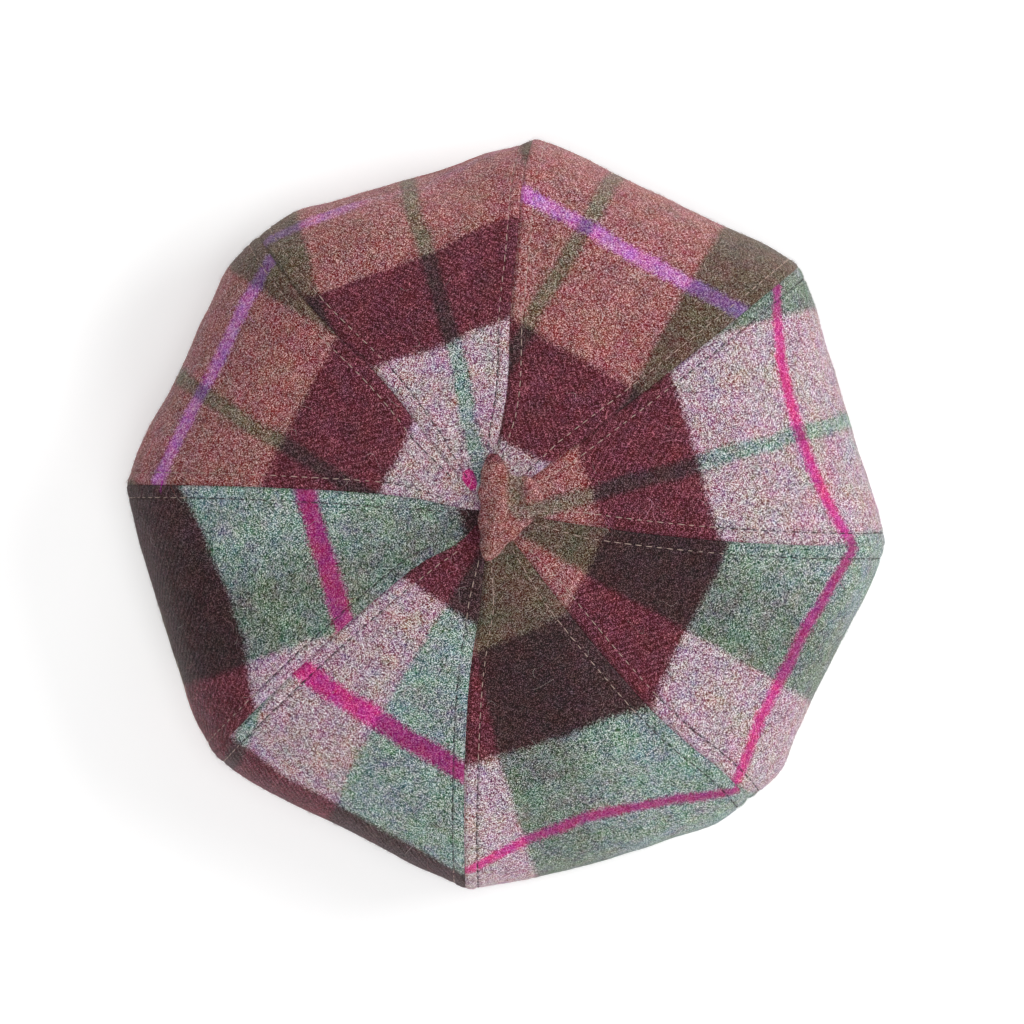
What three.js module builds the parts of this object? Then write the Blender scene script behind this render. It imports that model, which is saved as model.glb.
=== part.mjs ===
import * as THREE from 'three';

// Sizes in millimetres. The hat lies flat, seen from above with +X to the right and +Y away.
const CROWN_RADIUS = 145; // centre of the crown to an average corner
const CROWN_HEIGHT = 76; // centre of the crown above the surface that the hat lies on
const CROWN_SHIFT_X = -6.3; // the crown's centre lies off the middle of the headband
const CROWN_SHIFT_Y = 1.3;
const TIP_RADIUS = 3; // hole where the eight points meet, under the button
const CLOTH_THICKNESS = 2; // wool tweed with its interfacing
const SEAM_ALLOWANCE = 6; // turned-in cloth along each side of a seam
const ALLOWANCE_THICKNESS = 1.3; // what the turned-in cloth adds on the inside
const SEAM_DIP = 0.8; // the groove that the stitching pulls into a seam
const PUFF_HEIGHT = 1.8; // rise of a gore between its seams
const SAG_DEPTH = 4; // fall of a gore between its seams near the edge
const PIECE_GAP = 0.3; // clearance between neighbouring pieces

const HEADBAND_INNER_RADIUS = 91;
const HEADBAND_HEIGHT = 35;
const HEADBAND_THICKNESS = 3; // the cloth doubled
const HEADBAND_EDGE_ROUND = 0.6;
const HEADBAND_FIRST_SEAM_BEARING = 5.1; // degrees clockwise from +Y

const BUTTON_RADIUS = 15;
const BUTTON_HEIGHT = 11;
const BUTTON_SHIFT_X = 6.1; // from the crown's centre
const BUTTON_SHIFT_Y = 0.8;

// Shares of CROWN_HEIGHT
const BROW_SHARE = 0.11; // gentle fall of the flat top
const TUCK_SHARE = 0.13; // how far the underside hangs below the widest line
// Share of HEADBAND_HEIGHT at which the crown is sewn to the band
const JOIN_SHARE = 0.72;

// Rows and columns of facets
const TOP_ROWS = 20;
const UNDER_ROWS = 12;
const HEADBAND_SEGMENTS = 64;
const BUTTON_SEGMENTS = 28;
const BUTTON_ROWS = 9;

// A row for each seam. bearing is in degrees clockwise from +Y, reach and bow are shares of
// CROWN_RADIUS, fall is a share of CROWN_HEIGHT, square sets how late the top turns down
const SEAMS = [
  { bearing: 7.7, reach: 0.990, bow: -0.017, fall: 0.58, square: 8 },
  { bearing: 52.1, reach: 1.042, bow: 0.01, fall: 0.58, square: 9 },
  { bearing: 95.4, reach: 1.053, bow: 0.028, fall: 0.58, square: 9 },
  { bearing: 139.7, reach: 1.048, bow: 0.02, fall: 0.62, square: 7 },
  { bearing: 183.5, reach: 1.011, bow: 0.024, fall: 0.64, square: 5 },
  { bearing: 228.3, reach: 0.982, bow: 0.02, fall: 0.58, square: 7 },
  { bearing: 273.7, reach: 0.962, bow: 0.017, fall: 0.58, square: 6 },
  { bearing: 319.8, reach: 0.958, bow: -0.03, fall: 0.58, square: 6 },
];

// A row for each gore, clockwise from the first seam. first, middle and last are how far the edge
// stands outside the straight line between its corners, as shares of CROWN_RADIUS. puff and sag
// are shares of PUFF_HEIGHT and SAG_DEPTH
const GORES = [
  { name: 'crown_panel_1', first: 0.006, middle: -0.003, last: 0.011, fall: 0.58, square: 8, puff: 0.8, sag: 0.2 },
  { name: 'crown_panel_2', first: 0.005, middle: 0.004, last: 0.009, fall: 0.6, square: 8, puff: 0.6, sag: 1.0 },
  { name: 'crown_panel_3', first: 0.01, middle: 0.013, last: 0.022, fall: 0.6, square: 9, puff: 0.7, sag: 0.5 },
  { name: 'crown_panel_4', first: 0.016, middle: 0.02, last: 0.01, fall: 0.7, square: 4.5, puff: 0.8, sag: 1.2 },
  { name: 'crown_panel_5', first: -0.001, middle: 0.001, last: 0.008, fall: 0.62, square: 5, puff: 1.0, sag: 0.4 },
  { name: 'crown_panel_6', first: 0.002, middle: 0.004, last: 0.003, fall: 0.56, square: 9, puff: 1.2, sag: 0.3 },
  { name: 'crown_panel_7', first: 0.003, middle: 0.005, last: 0.017, fall: 0.6, square: 4.5, puff: 1.1, sag: 0.4 },
  { name: 'crown_panel_8', first: 0.013, middle: -0.002, last: -0.012, fall: 0.6, square: 8, puff: 0.9, sag: 0.3 },
];

// A row for each dent or swell. out is a share of the way to the edge, and past 1 it is under the
// hat. across runs from -1 at a gore's first seam to 1 at its last. rise is in millimetres
const DENTS = [
  { gore: 1, out: 0.84, across: 0.3, long: 0.1, wide: 0.35, rise: -1.5 },
  { gore: 3, out: 0.86, across: -0.35, long: 0.08, wide: 0.28, rise: -2.5 },
  { gore: 3, out: 0.9, across: 0.25, long: 0.07, wide: 0.22, rise: 2 },
  { gore: 4, out: 0.88, across: 0.4, long: 0.09, wide: 0.25, rise: 1.5 },
  { gore: 6, out: 0.7, across: 0, long: 0.14, wide: 0.4, rise: -1.5 },
  { gore: 7, out: 0.93, across: 0.45, long: 0.08, wide: 0.28, rise: -3.5 },
  { gore: 7, out: 0.86, across: -0.3, long: 0.1, wide: 0.35, rise: 2 },
];

// A row for each bearing round the button, reach as a share of BUTTON_RADIUS
const BUTTON_RIM = [
  { bearing: 0, reach: 1.0 },
  { bearing: 30, reach: 0.88 },
  { bearing: 62, reach: 1.12 },
  { bearing: 92, reach: 0.98 },
  { bearing: 122, reach: 0.8 },
  { bearing: 152, reach: 0.8 },
  { bearing: 180, reach: 1.1 },
  { bearing: 201, reach: 1.5 },
  { bearing: 226, reach: 0.95 },
  { bearing: 258, reach: 0.72 },
  { bearing: 300, reach: 0.8 },
  { bearing: 335, reach: 1.28 },
];

const clamp01 = (x) => Math.min(1, Math.max(0, x));
const lerp = (a, b, share) => a + (b - a) * share;

function smooth(from, to, x) {
  const share = clamp01((x - from) / (to - from));
  return share * share * (3 - 2 * share);
}

// Value at across -1, 0 and 1, joined by one smooth curve
function threeWay(first, middle, last, across) {
  const side = across * across;
  return middle * (1 - side) + (first * (side - across) + last * (side + across)) / 2;
}

function planPoint(bearing, reach) {
  const angle = THREE.MathUtils.degToRad(bearing);
  return new THREE.Vector2(Math.sin(angle) * reach, Math.cos(angle) * reach);
}

// Where the edge of a gore lies in plan, from the crown's centre
function edgePoint(index, across) {
  const gore = GORES[index];
  const from = SEAMS[index];
  const to = SEAMS[(index + 1) % SEAMS.length];
  const start = planPoint(from.bearing, from.reach * CROWN_RADIUS);
  const end = planPoint(to.bearing, to.reach * CROWN_RADIUS);
  const along = end.clone().sub(start);
  const outward = new THREE.Vector2(-along.y, along.x).normalize();
  const cornerSharpness = 10;
  const fade = 1 - Math.pow(Math.abs(across), cornerSharpness);
  const lift = threeWay(gore.first, gore.middle, gore.last, across) * CROWN_RADIUS * fade;
  return start.addScaledVector(along, (across + 1) / 2).addScaledVector(outward, lift);
}

// Sideways bow of the seams in plan, shared out across the gore
function bowOffset(index, across, out) {
  const from = SEAMS[index];
  const to = SEAMS[(index + 1) % SEAMS.length];
  const size = CROWN_RADIUS * 4 * out * (1 - out);
  const sideFrom = planPoint(from.bearing + 90, from.bow * size * (1 - across) / 2);
  const sideTo = planPoint(to.bearing + 90, to.bow * size * (1 + across) / 2);
  return sideFrom.add(sideTo);
}

// The plain outer form of a gore. way runs from 0 at the centre to 1 at the widest line,
// and on to 2 at the headband
function plainPoint(index, across, way) {
  const gore = GORES[index];
  const from = SEAMS[index];
  const to = SEAMS[(index + 1) % SEAMS.length];
  const fall = threeWay(from.fall, gore.fall, to.fall, across);
  const edge = edgePoint(index, across);
  const edgeHeight = CROWN_HEIGHT * (1 - fall);
  if (way <= 1) {
    const square = threeWay(from.square, gore.square, to.square, across);
    const tip = TIP_RADIUS / CROWN_RADIUS;
    const out = lerp(tip, 1, 1 - (1 - way) * (1 - way));
    const turn = 1 - Math.sqrt(Math.max(0, 1 - Math.pow(out, square)));
    const drop = BROW_SHARE * out * out + (fall - BROW_SHARE) * turn;
    const plan = edge.multiplyScalar(out).add(bowOffset(index, across, out));
    return new THREE.Vector3(plan.x + CROWN_SHIFT_X, plan.y + CROWN_SHIFT_Y, CROWN_HEIGHT * (1 - drop));
  }
  const under = way - 1;
  const sector = 360 / SEAMS.length;
  const bearing = HEADBAND_FIRST_SEAM_BEARING + sector * (index + (across + 1) / 2);
  const ringRadius = HEADBAND_INNER_RADIUS + HEADBAND_THICKNESS + PIECE_GAP;
  const ring = planPoint(bearing, ringRadius);
  const inward = 1 - Math.cos(under * Math.PI / 2);
  const x = lerp(edge.x + CROWN_SHIFT_X, ring.x, inward);
  const y = lerp(edge.y + CROWN_SHIFT_Y, ring.y, inward);
  const joinHeight = HEADBAND_HEIGHT * JOIN_SHARE;
  const hang = TUCK_SHARE * CROWN_HEIGHT * Math.sin(under * Math.PI);
  const z = lerp(edgeHeight, joinHeight, Math.pow(under, 1.6)) - hang;
  return new THREE.Vector3(x, y, z);
}

function surfaceNormal(index, across, way) {
  const step = 0.01;
  const west = plainPoint(index, Math.max(-1, across - step), way);
  const east = plainPoint(index, Math.min(1, across + step), way);
  const near = plainPoint(index, across, Math.max(0, way - step));
  const far = plainPoint(index, across, Math.min(2, way + step));
  const sideways = east.sub(west);
  const outward = far.sub(near);
  return outward.cross(sideways).normalize().negate();
}

// The direction that halves a seam, the same for the gores on both sides of it
function seamNormal(seam, way) {
  const before = (seam + GORES.length - 1) % GORES.length;
  return surfaceNormal(before, 1, way).add(surfaceNormal(seam, -1, way)).normalize();
}

function seamDirection(seam, way) {
  const step = 0.01;
  const near = plainPoint(seam, -1, Math.max(0, way - step));
  const far = plainPoint(seam, -1, Math.min(2, way + step));
  return far.sub(near).normalize();
}

// Puff, sag and dents, measured outward from the plain form
function relief(index, across, way) {
  const gore = GORES[index];
  const out = way <= 1 ? 1 - (1 - way) * (1 - way) : way;
  const between = 1 - across * across;
  const top = smooth(0.12, 0.5, out) * (1 - smooth(0.88, 1.3, out));
  const nearEdge = Math.exp(-Math.pow((out - 0.88) / 0.1, 2));
  let rise = PUFF_HEIGHT * gore.puff * between * top - SAG_DEPTH * gore.sag * between * nearEdge;
  for (const dent of DENTS.filter((row) => row.gore === index)) {
    const along = (out - dent.out) / dent.long;
    const side = (across - dent.across) / dent.wide;
    rise += dent.rise * between * Math.exp(-along * along - side * side);
  }
  return rise;
}

// Columns across a gore: its two cut edges, the ends of the turned-in cloth and the field between
function acrossColumns(index, way) {
  const left = plainPoint(index, -1, way);
  const right = plainPoint(index, 1, way);
  const half = left.distanceTo(right) / 2;
  const field = 1 - Math.min(0.4, SEAM_ALLOWANCE / half);
  const inner = [-1, -0.66, -0.33, 0, 0.33, 0.66, 1].map((share) => share * field);
  return [-1, ...inner, 1];
}

// One column's outer and inner points on one row of a gore
function wallPoints(index, across, way) {
  const outer = plainPoint(index, across, way);
  const atSeam = Math.abs(across) === 1;
  const seam = across > 0 ? (index + 1) % SEAMS.length : index;
  const normal = atSeam ? seamNormal(seam, way) : surfaceNormal(index, across, way);
  const inward = way === 2 ? new THREE.Vector3(0, 0, 1) : normal.clone().negate();
  const onAllowance = acrossColumns(index, way).slice(1, -1).every((column) => Math.abs(column) <= Math.abs(across));
  const depth = CLOTH_THICKNESS + (onAllowance ? ALLOWANCE_THICKNESS : 0);
  if (atSeam) {
    const miter = Math.max(0.8, normal.dot(surfaceNormal(index, across, way)));
    const sideways = seamDirection(seam, way).cross(normal).normalize();
    const centre = plainPoint(index, 0, way);
    if (sideways.dot(centre.sub(outer)) < 0) sideways.negate();
    outer.addScaledVector(sideways, PIECE_GAP / 2);
    const inner = outer.clone().addScaledVector(inward, way === 2 ? depth : depth / miter);
    if (way !== 2) outer.addScaledVector(normal, -SEAM_DIP);
    return { outer, inner };
  }
  outer.addScaledVector(normal, way === 2 ? 0 : relief(index, across, way));
  return { outer, inner: outer.clone().addScaledVector(inward, depth) };
}

// A closed solid from a grid of outer points and a matching grid of inner points
function shellGeometry(outer, inner) {
  const rows = outer.length;
  const columns = outer[0].length;
  const points = [...outer.flat(), ...inner.flat()];
  const positions = new Float32Array(points.flatMap((point) => point.toArray()));
  const at = (layer, row, column) => (layer * rows + row) * columns + column;
  const faces = [];
  const quad = (a, b, c, d) => faces.push(a, c, b, a, d, c);
  for (let row = 0; row < rows - 1; row += 1) {
    for (let column = 0; column < columns - 1; column += 1) {
      quad(at(0, row, column), at(0, row + 1, column), at(0, row + 1, column + 1), at(0, row, column + 1));
      quad(at(1, row, column), at(1, row, column + 1), at(1, row + 1, column + 1), at(1, row + 1, column));
    }
    const last = columns - 1;
    quad(at(0, row, 0), at(1, row, 0), at(1, row + 1, 0), at(0, row + 1, 0));
    quad(at(0, row, last), at(0, row + 1, last), at(1, row + 1, last), at(1, row, last));
  }
  const end = rows - 1;
  for (let column = 0; column < columns - 1; column += 1) {
    quad(at(0, 0, column), at(0, 0, column + 1), at(1, 0, column + 1), at(1, 0, column));
    quad(at(0, end, column), at(1, end, column), at(1, end, column + 1), at(0, end, column + 1));
  }
  const geometry = new THREE.BufferGeometry();
  geometry.setAttribute('position', new THREE.BufferAttribute(positions, 3));
  geometry.setIndex(faces);
  return geometry;
}

function goreGeometry(index) {
  const outer = [];
  const inner = [];
  for (let row = 0; row <= TOP_ROWS + UNDER_ROWS; row += 1) {
    const way = row <= TOP_ROWS ? row / TOP_ROWS : 1 + (row - TOP_ROWS) / UNDER_ROWS;
    const walls = acrossColumns(index, way).map((across) => wallPoints(index, across, way));
    outer.push(walls.map((wall) => wall.outer));
    inner.push(walls.map((wall) => wall.inner));
  }
  return shellGeometry(outer, inner);
}

// A band of doubled cloth, flat where it rests, with its folded edges eased
function headbandGeometry() {
  const outside = HEADBAND_INNER_RADIUS + HEADBAND_THICKNESS;
  const ease = HEADBAND_EDGE_ROUND;
  const section = [
    { radius: HEADBAND_INNER_RADIUS + ease, height: 0 },
    { radius: outside - ease, height: 0 },
    { radius: outside, height: ease },
    { radius: outside, height: HEADBAND_HEIGHT - ease },
    { radius: outside - ease, height: HEADBAND_HEIGHT },
    { radius: HEADBAND_INNER_RADIUS + ease, height: HEADBAND_HEIGHT },
    { radius: HEADBAND_INNER_RADIUS, height: HEADBAND_HEIGHT - ease },
    { radius: HEADBAND_INNER_RADIUS, height: ease },
  ];
  const positions = [];
  const faces = [];
  const count = section.length;
  for (let step = 0; step < HEADBAND_SEGMENTS; step += 1) {
    const next = (step + 1) % HEADBAND_SEGMENTS;
    section.forEach((corner, place) => {
      const bearing = HEADBAND_FIRST_SEAM_BEARING + step * 360 / HEADBAND_SEGMENTS;
      const plan = planPoint(bearing, corner.radius);
      positions.push(plan.x, plan.y, corner.height);
      const after = (place + 1) % count;
      const here = [step * count + place, step * count + after];
      const there = [next * count + place, next * count + after];
      faces.push(here[0], there[1], there[0], here[0], here[1], there[1]);
    });
  }
  const geometry = new THREE.BufferGeometry();
  geometry.setAttribute('position', new THREE.Float32BufferAttribute(positions, 3));
  geometry.setIndex(faces);
  return geometry;
}

// Reach of the button's rim at a bearing, eased between the rows of its table
function buttonReach(bearing) {
  const rows = BUTTON_RIM;
  const turn = ((bearing % 360) + 360) % 360;
  let index = rows.length - 1;
  while (rows[index].bearing > turn) index -= 1;
  const from = rows[index];
  const to = rows[(index + 1) % rows.length];
  const span = (to.bearing - from.bearing + 360) % 360;
  return lerp(from.reach, to.reach, smooth(0, 1, (turn - from.bearing) / span)) * BUTTON_RADIUS;
}

// A soft pad with a flat underside that sits over the points of the gores
function buttonGeometry() {
  const base = CROWN_HEIGHT + PIECE_GAP;
  const centreX = CROWN_SHIFT_X + BUTTON_SHIFT_X;
  const centreY = CROWN_SHIFT_Y + BUTTON_SHIFT_Y;
  const footShare = 0.78;
  const positions = [centreX, centreY, base];
  const faces = [];
  for (let row = 0; row < BUTTON_ROWS; row += 1) {
    const angle = Math.PI / 2 * row / BUTTON_ROWS;
    const spread = lerp(footShare, 1, smooth(0, 1, row / 3)) * Math.pow(Math.cos(angle), 0.7);
    const height = base + BUTTON_HEIGHT * Math.sin(angle);
    for (let step = 0; step < BUTTON_SEGMENTS; step += 1) {
      const bearing = step * 360 / BUTTON_SEGMENTS;
      const plan = planPoint(bearing, buttonReach(bearing) * spread);
      positions.push(centreX + plan.x, centreY + plan.y, height);
    }
  }
  positions.push(centreX, centreY, base + BUTTON_HEIGHT);
  const top = 1 + BUTTON_ROWS * BUTTON_SEGMENTS;
  const at = (row, step) => 1 + row * BUTTON_SEGMENTS + (step % BUTTON_SEGMENTS);
  for (let step = 0; step < BUTTON_SEGMENTS; step += 1) {
    faces.push(0, at(0, step), at(0, step + 1));
    for (let row = 0; row < BUTTON_ROWS - 1; row += 1) {
      const corners = [at(row, step), at(row + 1, step), at(row + 1, step + 1), at(row, step + 1)];
      faces.push(corners[0], corners[1], corners[2], corners[0], corners[2], corners[3]);
    }
    faces.push(top, at(BUTTON_ROWS - 1, step + 1), at(BUTTON_ROWS - 1, step));
  }
  const geometry = new THREE.BufferGeometry();
  geometry.setAttribute('position', new THREE.Float32BufferAttribute(positions, 3));
  geometry.setIndex(faces);
  return geometry;
}

function clothMesh(name, geometry, colour) {
  const material = new THREE.MeshStandardMaterial({ color: colour, roughness: 0.95, metalness: 0 });
  const mesh = new THREE.Mesh(geometry, material);
  mesh.name = name;
  return mesh;
}

const TWEED_COLOUR = 0x7a5c5e;

const group = new THREE.Group();
group.name = 'tam_o_shanter';
GORES.forEach((gore, index) => group.add(clothMesh(gore.name, goreGeometry(index), TWEED_COLOUR)));
group.add(clothMesh('headband', headbandGeometry(), TWEED_COLOUR));
group.add(clothMesh('centre_button', buttonGeometry(), TWEED_COLOUR));

// The middle of the object's plan goes to the origin. The headband already rests at height 0
const extent = new THREE.Box3().setFromObject(group);
const middle = extent.getCenter(new THREE.Vector3());
group.children.forEach((mesh) => mesh.geometry.translate(-middle.x, -middle.y, 0));

export default group;
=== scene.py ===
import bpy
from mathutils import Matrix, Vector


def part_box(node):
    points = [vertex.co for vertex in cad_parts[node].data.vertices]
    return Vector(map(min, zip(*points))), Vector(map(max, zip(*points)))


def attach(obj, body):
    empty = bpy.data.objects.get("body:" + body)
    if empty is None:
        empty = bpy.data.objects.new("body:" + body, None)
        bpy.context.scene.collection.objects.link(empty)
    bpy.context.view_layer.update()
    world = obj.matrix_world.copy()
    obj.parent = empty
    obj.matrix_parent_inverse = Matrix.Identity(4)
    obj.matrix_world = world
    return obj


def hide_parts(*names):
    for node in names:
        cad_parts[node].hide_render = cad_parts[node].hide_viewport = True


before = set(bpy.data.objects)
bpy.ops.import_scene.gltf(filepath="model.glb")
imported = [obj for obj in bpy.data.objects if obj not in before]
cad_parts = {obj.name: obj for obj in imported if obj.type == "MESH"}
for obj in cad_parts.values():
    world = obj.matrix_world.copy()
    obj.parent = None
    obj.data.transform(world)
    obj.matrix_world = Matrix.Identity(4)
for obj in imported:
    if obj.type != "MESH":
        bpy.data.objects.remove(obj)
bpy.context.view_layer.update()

import math

import bpy
import numpy as np

MM = 0.001
TURN = 2 * math.pi

# Sizes of the part in millimetres, shares of them and powers
CROWN_RADIUS = 145.0
CROWN_HEIGHT = 76.0
CROWN_SHIFT = np.array([-6.3, 1.3])  # of the crown's centre from the headband's
TIP_RADIUS = 3.0  # of the small hole where the gores meet, under the button
CLOTH_THICKNESS = 2.0
SEAM_ALLOWANCE = 6.0  # cloth turned in along each side of a gore
ALLOWANCE_THICKNESS = 1.3
PUFF_HEIGHT = 1.8
SAG_DEPTH = 4.0
PIECE_GAP = 0.3  # left between the gores and the band, and under the button
BAND_INNER = 91.0
BAND_HEIGHT = 35.0
BAND_THICKNESS = 3.0
BAND_BEARING = 5.1  # where the first gore's seam meets the band, in degrees
BUTTON_RADIUS = 15.0
BUTTON_HEIGHT = 11.0
BUTTON_SHIFT = np.array([6.1, 0.8])
BROW_SHARE = 0.11  # how far the flat top falls toward the edge, of the crown's height
TUCK_SHARE = 0.13  # how far the cloth hangs on its way under, of the crown's height
JOIN_SHARE = 0.72  # how high up the band the gores end
ENDS_POWER = 10  # how close to its ends a gore's edge keeps its bow
UNDER_POWER = 1.6  # how late the cloth falls on its way under

# A row for each seam, as in the part: bearing, reach, bow, fall, square
SEAMS = np.array([
    [7.7, 0.99, -0.017, 0.58, 8],
    [52.1, 1.042, 0.01, 0.58, 9],
    [95.4, 1.053, 0.028, 0.58, 9],
    [139.7, 1.048, 0.02, 0.62, 7],
    [183.5, 1.011, 0.024, 0.64, 5],
    [228.3, 0.982, 0.02, 0.58, 7],
    [273.7, 0.962, 0.017, 0.58, 6],
    [319.8, 0.958, -0.03, 0.58, 6],
])
# A row for each gore, as in the part: first, middle, last, fall, square, puff, sag
GORES = np.array([
    [0.006, -0.003, 0.011, 0.58, 8, 0.8, 0.2],
    [0.005, 0.004, 0.009, 0.6, 8, 0.6, 1.0],
    [0.01, 0.013, 0.022, 0.6, 9, 0.7, 0.5],
    [0.016, 0.02, 0.01, 0.7, 4.5, 0.8, 1.2],
    [-0.001, 0.001, 0.008, 0.62, 5, 1.0, 0.4],
    [0.002, 0.004, 0.003, 0.56, 9, 1.2, 0.3],
    [0.003, 0.005, 0.017, 0.6, 4.5, 1.1, 0.4],
    [0.013, -0.002, -0.012, 0.6, 8, 0.9, 0.3],
])
# A row for each dent or swell, as in the part: gore, out, across, long, wide, rise
DENTS = [
    [1, 0.84, 0.3, 0.1, 0.35, -1.5],
    [3, 0.86, -0.35, 0.08, 0.28, -2.5],
    [3, 0.9, 0.25, 0.07, 0.22, 2],
    [4, 0.88, 0.4, 0.09, 0.25, 1.5],
    [6, 0.7, 0, 0.14, 0.4, -1.5],
    [7, 0.93, 0.45, 0.08, 0.28, -3.5],
    [7, 0.86, -0.3, 0.1, 0.35, 2],
]
# How each gore was cut from the cloth: its grain in degrees, the cloth's place at the centre in
# millimetres, which way it runs outward and clockwise, how the weft tilts near the centre and near the
# edge, how much cloth is eased in near the centre, half way and near the edge, how far the check bows
# inward at the edge, and how far the warp leans sideways on the way out
CUTS = [
    {"grain": 3.3, "v": 68.6, "u": 21.0, "out": -1, "side": 1,
     "tilt": (3.3, 3.3), "ease": (1, 2, 4.5), "bow": 1},
    {"grain": 0.9, "v": 237.0, "u": 5.7, "out": 1, "side": -1,
     "tilt": (0.9, 0.9), "ease": (0, 0.5, 0), "bow": 8},
    {"grain": 1.5, "v": 232.4, "u": 48.6, "out": 1, "side": -1,
     "tilt": (-2.2, -2), "ease": (0, -1.9, -2), "bow": 3.5},
    {"grain": -1.5, "v": 226.7, "u": 69.7, "out": 1, "side": -1,
     "tilt": (-7, -0.5), "ease": (0.5, 0.5, 5), "bow": 9.5, "lean": (-4.3, -4.3, -3.9, 0, 0, 0)},
    {"grain": 2.3, "v": 178.1, "u": -39.4, "out": -1, "side": 1,
     "tilt": (5.5, 4), "ease": (-1, 2.6, 3.5), "bow": 0, "lean": (0.9, 0.2, 0, 0, 0, 3)},
    {"grain": -1.4, "v": 150.1, "u": 71.2, "out": -1, "side": 1,
     "tilt": (0.6, -1.4), "ease": (0, 0.5, 5.5), "bow": 6},
    {"grain": 4.5, "v": 85.8, "u": 20.0, "out": -1, "side": 1,
     "tilt": (0.3, 0.3), "ease": (4, 4.5, 11.5), "bow": 0},
    {"grain": 1.9, "v": 108.8, "u": -5.0, "out": -1, "side": 1,
     "tilt": (-1, -1), "ease": (0, 3, 23), "bow": 0, "lean": (3.7, 1.2, 0.1, 0, 0, 0)},
]
EASE_AT = (40.0, 84.0, 122.0)
LEAN_AT = (25.0, 44.0, 54.0, 90.0, 110.0, 130.0)
# The last gore is gathered at the centre and shows its bright line as a spot beside the button
GATHER = 28.0
SPOT = (13.0, -3.3, 5.3, 3.3)  # out, across, how long and how wide
SPOT_DEPTH = 14.5
FAR_SIDE_EASE = 0.5  # how much of that gore's eased cloth is left at its far corner
# How far each corner of the crown is rounded off
CORNER_ROUND = [0.9, 0.8, 0.6, 2.4, 0.5, 1.4, 0.6, 2.6]
# The button's rim: bearing and reach
BUTTON_RIM = np.array([
    [8, 0.89], [21, 0.86], [37, 1.01], [55, 1.09], [78, 1.07], [91, 1.02],
    [110, 0.87], [140, 0.8], [172, 0.97], [200, 1.59], [209, 1.35], [223, 0.93],
    [270, 0.64], [313, 0.88], [332, 1.23], [344, 1.5], [354, 1.42], [358, 1.19],
])
# How the seams wander on the finished crown: place, shift and spread, in millimetres
WANDER = [
    [-2, 46, 2.3, 0, 22],
    [9, 130, -3.0, 0, 24],
    [86, -105, 3.1, 3.1, 26],
    [-17, -9, 0.6, -3.6, 13],
    [-10, -34, 1.8, 0, 20],
    [-44, 50, 3.9, 3.3, 34],
]
# The check, along the cloth: where each weft stripe begins, in millimetres, its colour where it crosses
# the light warp and where it crosses the dark warp, how strongly the twill shows, and how much of the
# bluer warp shows through
REPEAT_V = 276.1
WEFT = [
    (0.0, (92, 30, 48), (56, 32, 36), 0.29, 0.4),
    (42.9, (175, 143, 156), (103, 115, 107), 0.08, 1.0),
    (138.6, (92, 30, 48), (56, 32, 36), 0.29, 0.4),
    (181.5, (148, 89, 89), (95, 76, 61), 0.1, 0.2),
]
# Thin bright weft lines: middle, half width in one repeat and in the next, and the two colours
LINES = [
    (85.1, 4.0, 2.5, (200, 40, 134), (158, 48, 116)),
    (229.4, 3.2, 3.2, (188, 114, 178), (126, 88, 138)),
]
# Across the cloth: where each warp stripe begins, how dark it is, whether it is the lighter and bluer
# yarn, and whether it is the narrow stripe, which shows in full
REPEAT_U = 185.0
WARP_START = -43.3
WARP = [
    (0.0, 0.0, 0.0, 0.0),
    (40.0, 0.98, 1.0, 1.0),
    (46.5, 0.0, 0.0, 0.0),
    (88.5, 1.0, 0.0, 0.0),
    (116.0, 1.0, 0.3, 0.0),
    (123.0, 1.0, 0.6, 0.0),
    (131.0, 1.0, 1.0, 0.0),
]
WALE_PITCH = 2.93  # of the twill, along the weft
FUZZ = 1.2  # half the width over which one stripe's fibres cross into the next
BLUER = (1.5, 1.64, 1.76)  # the bluer warp's colour against the darker one's
# How much specks, grit, fibres, patches and twill lines each lighten or darken the wool
SPECK_POWER, GRIT_POWER, FIBRE_POWER, PATCH_POWER, RIB_POWER = 2.3, 12.5, 2.4, 1.1, 1.6
UV_UNIT = 100.0  # millimetres of cloth in one unit of the UV layers

STITCH_LINE = 5.0  # from the seam to its topstitching
STITCH_PITCH = 4.0
STITCHED_FROM = 6.6  # half a gore's width where its topstitching begins
THREAD_RADIUS = 0.16
SHADED_THREAD_RADIUS = 0.21
BAND_STITCH_HEIGHT = 7.0
NAP_COUNT = 7200  # fibres on each gore
BUTTON_NAP_COUNT = 1600
LONG_NAP_COUNT = 320
STRAY_COUNT = 30
GORE_COUNT = len(GORES)
LAST_GORE = GORE_COUNT - 1

band_low, band_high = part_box("headband")
SHIFT = np.array([(band_low[0] + band_high[0]) / 2 / MM, (band_low[1] + band_high[1]) / 2 / MM, 0.0])


def smooth(a, b, x):
    """From 0 at a to 1 at b, with soft ends."""
    s = np.clip((x - a) / (b - a), 0, 1)
    return s * s * (3 - 2 * s)


def three_way(first, middle, last, t):
    """The curve through three values at t = -1, 0 and 1."""
    side = t * t
    return middle * (1 - side) + (first * (side - t) + last * (side + t)) / 2


def plan(bearing, reach):
    """A point in plan from its bearing in degrees, clockwise from north, and its reach."""
    a = np.radians(bearing)
    return np.stack([np.sin(a) * reach, np.cos(a) * reach], axis=-1)


def lattice(ix, iy, seed):
    h = (ix.astype(np.int64) * 374761393 + iy.astype(np.int64) * 668265263 + seed * 974634777) & 0xFFFFFFFF
    h = ((h ^ (h >> 13)) * 1274126177) & 0xFFFFFFFF
    h = h ^ (h >> 16)
    return (h & 0xFFFFFF) / float(0xFFFFFF) * 2 - 1


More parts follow.
